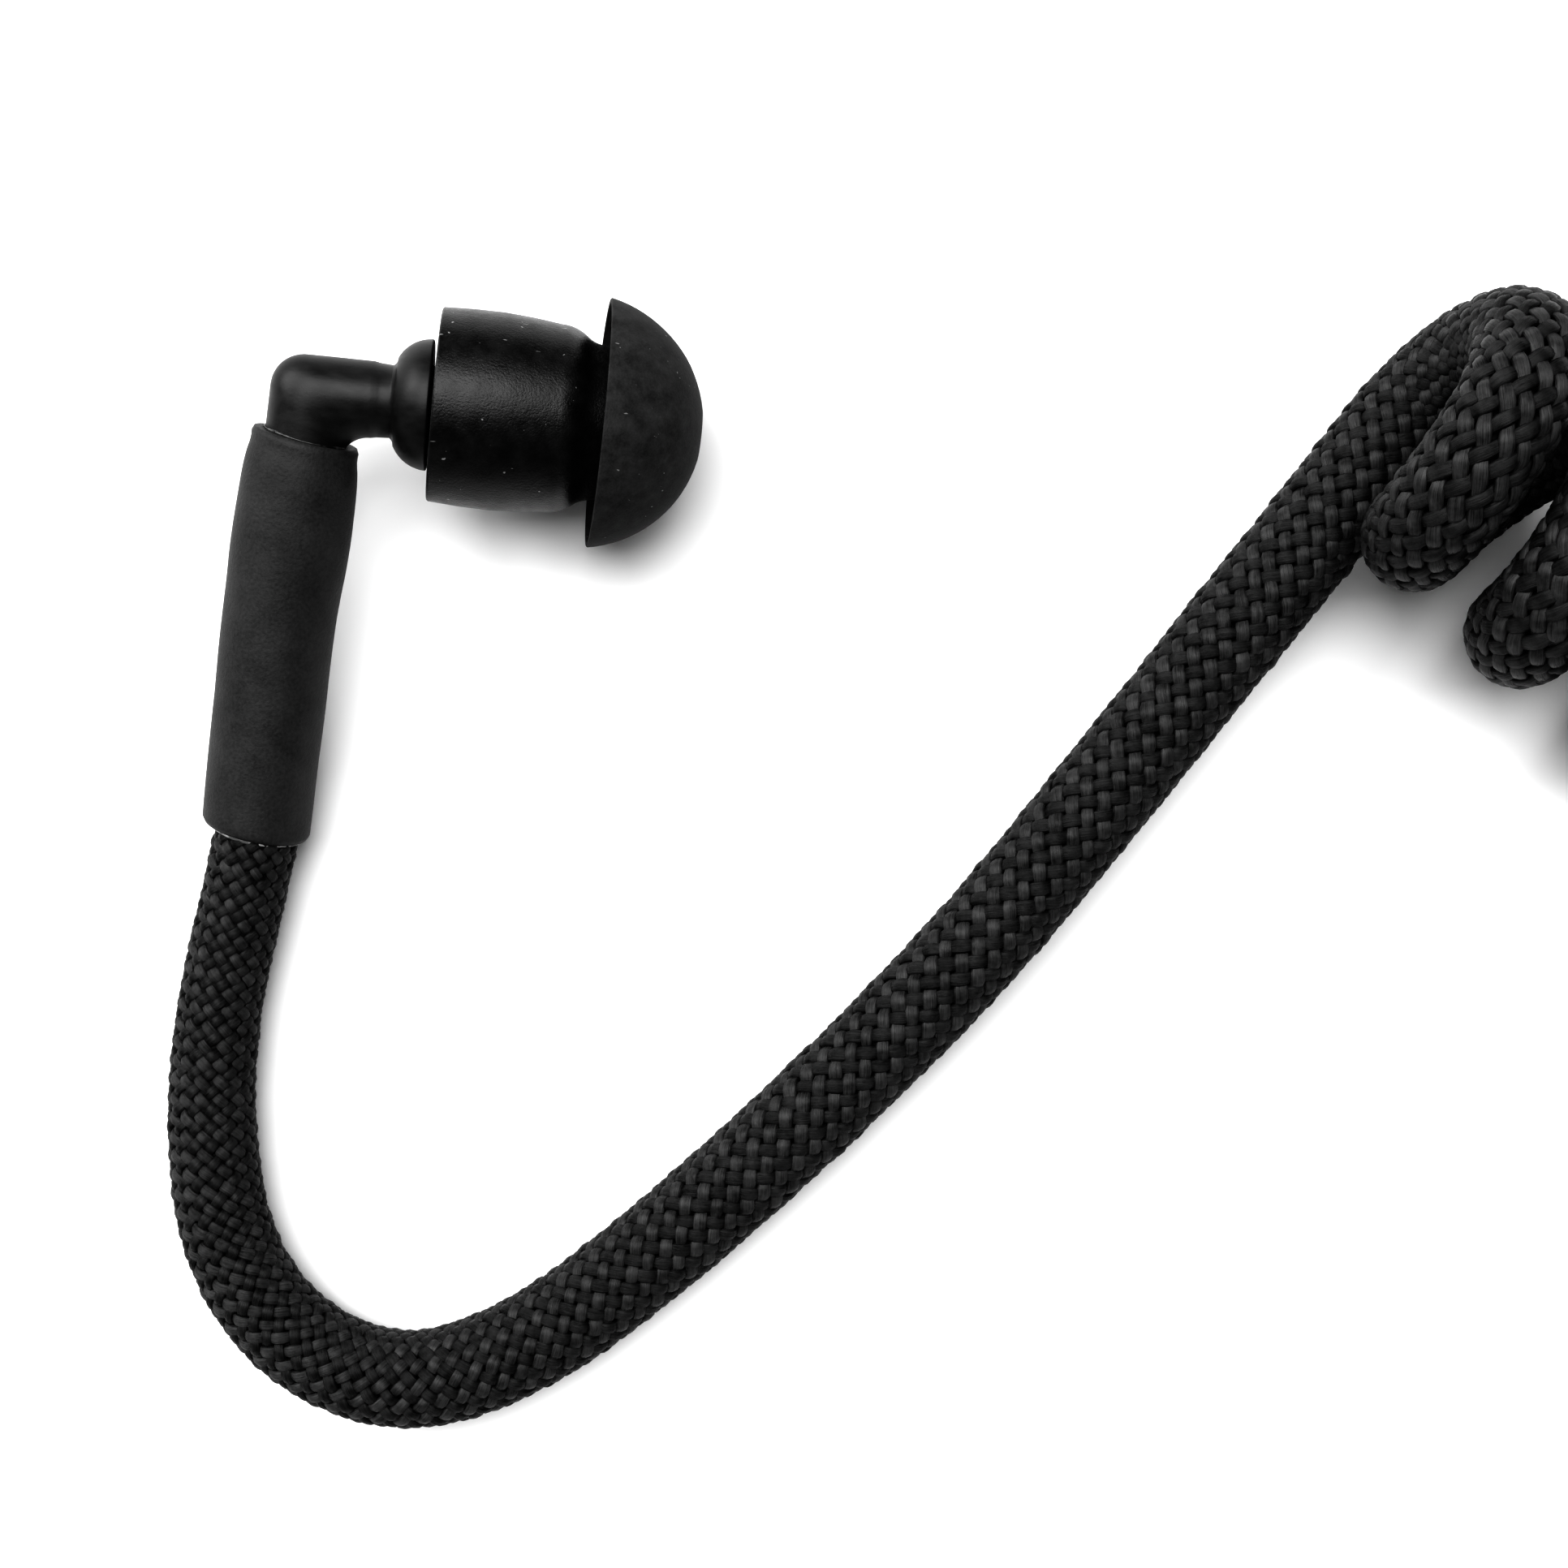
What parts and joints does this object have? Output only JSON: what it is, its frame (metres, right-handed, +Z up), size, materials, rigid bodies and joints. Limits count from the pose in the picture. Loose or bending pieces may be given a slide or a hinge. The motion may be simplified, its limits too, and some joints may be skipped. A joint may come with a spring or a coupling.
{
  "type": "acoustic tube earpiece",
  "caption": "Ear tip on a moulded elbow with a braided acoustic tube that runs into a preset coil and ends in a twist-lock tube connector.",
  "frame": {"origin": "on the surface it lies on, under the middle of the ear end's box (ear tip, elbow, its heat-shrink)", "axes": "+Z up, +X the way the nozzle points, +Y from the heat-shrink's end towards the elbow"},
  "size_m": [0.1259, 0.0806, 0.0185],
  "materials": {
    "tip_silicone": "satin silicone rubber",
    "elbow_plastic": "moulded, satin gloss",
    "heat_shrink": "matte heat-shrink",
    "hot_melt": "squeezed-out hot melt",
    "tube_plastic": "extruded flexible tube",
    "braid": "braided multifilament yarn",
    "connector_plastic": "moulded, satin gloss",
    "collar_plastic": "moulded, fine matte",
    "seal_rubber": "soft rubber"
  },
  "bodies": {
    "tube_assembly": {"elbow": "elbow_plastic", "ear_heat_shrink": "heat_shrink", "ear_glue_liner": "hot_melt", "sound_tube_run": "tube_plastic", "braid_run": "braid", "coil": "braid", "sound_tube_tail": "tube_plastic", "braid_tail": "braid", "plug_heat_shrink": "heat_shrink", "plug_glue_liner": "hot_melt", "connector_body": "connector_plastic", "face_seal": "seal_rubber"},
    "tip": {"ear_tip": "tip_silicone"},
    "collar": {"twist_collar": "collar_plastic"}
  },
  "joints": [
    {"name": "tip_pull_off", "type": "slide", "parent": "tube_assembly", "child": "tip", "axis": [0.9895, -0.0169, -0.1435], "range_m": [0, 0.01]},
    {"name": "collar_twist", "type": "hinge", "parent": "tube_assembly", "child": "collar", "pos_m": [0.1075, -0.0538, 0.00462], "axis": [0, -1, 0], "continuous": true}
  ]
}
